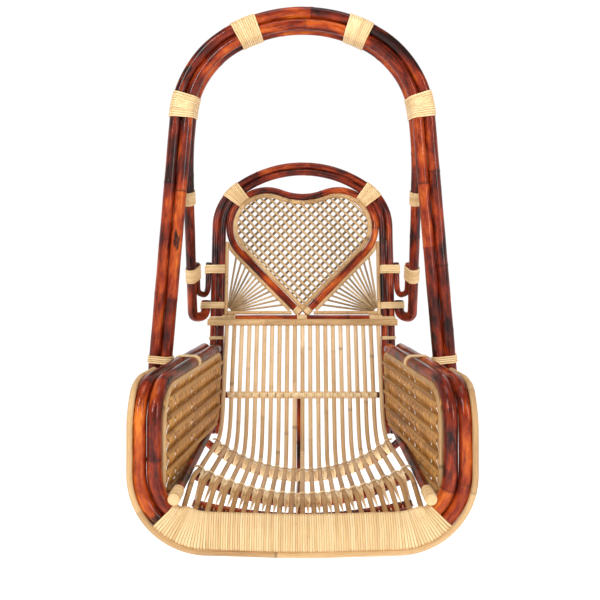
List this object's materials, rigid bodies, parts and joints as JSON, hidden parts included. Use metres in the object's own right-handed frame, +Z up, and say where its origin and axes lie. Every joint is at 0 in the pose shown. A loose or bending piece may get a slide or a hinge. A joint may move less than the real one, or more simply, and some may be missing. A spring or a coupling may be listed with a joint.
{
  "type": "hanging swing chair",
  "caption": "Hanging cane swing chair: a bent arch carries a slatted seat with a reclined heart-panel back, looped arms and a peel-wrapped front roll, hung from the arch's crown.",
  "frame": {"origin": "hang point: the underside of the inner arch cane at the crown, in the arch's middle plane", "axes": "+Z up along the hanging line, -Y to the front of the seat, +X to the sitter's left"},
  "size_m": [0.6764, 0.6053, 1.0871],
  "materials": {
    "stained_cane": "gloss",
    "natural_cane": "satin",
    "peel": "satin",
    "slat_cane": "matte",
    "panel_strip": "satin"
  },
  "bodies": {
    "root": {"arch_arm_lashings": "peel", "arch_bindings": "peel", "arch_inner_cane": "stained_cane", "arch_outer_cane": "stained_cane", "arch_rear_cane": "stained_cane", "arm_loop_inner_cane": "stained_cane", "arm_loop_outer_cane": "stained_cane", "arm_post_lashings": "peel", "back_cross_cane": "stained_cane", "back_cross_lashing": "peel", "back_cross_rail": "stained_cane", "back_hoop_inner_cane": "stained_cane", "back_hoop_outer_cane": "stained_cane", "brace_leg_bindings": "peel", "front_cross_cane": "stained_cane", "front_cross_lashing": "peel", "front_roll_wrap": "peel", "front_under_canes": "stained_cane", "hanger_splice_bindings": "peel", "heart_bead": "natural_cane", "heart_frame_cane": "stained_cane", "heart_lattice_front": "natural_cane", "heart_lattice_rear": "natural_cane", "heart_tip_binding": "peel", "hoop_bindings": "peel", "left_brace_hook": "stained_cane", "left_fan_frame": "natural_cane", "left_fan_rays": "natural_cane", "left_hanger_leg": "stained_cane", "left_panel_border": "natural_cane", "left_panel_inner_rods": "slat_cane", "left_panel_outer_rods": "slat_cane", "left_panel_strips": "panel_strip", "left_side_rail": "stained_cane", "lower_post_bindings": "peel", "middle_cross_cane": "stained_cane", "middle_cross_lashing": "peel", "outer_trim_cane": "natural_cane", "rail_end_bindings": "peel", "right_brace_hook": "stained_cane", "right_fan_frame": "natural_cane", "right_fan_rays": "natural_cane", "right_hanger_leg": "stained_cane", "right_panel_border": "natural_cane", "right_panel_inner_rods": "slat_cane", "right_panel_outer_rods": "slat_cane", "right_panel_strips": "panel_strip", "right_side_rail": "stained_cane", "roll_top_cane": "natural_cane", "seat_slats": "slat_cane", "seat_spine_cane": "stained_cane", "side_rail_lashings": "peel", "slat_cap_rail": "natural_cane", "upper_post_bindings": "peel"}
  },
  "joints": []
}
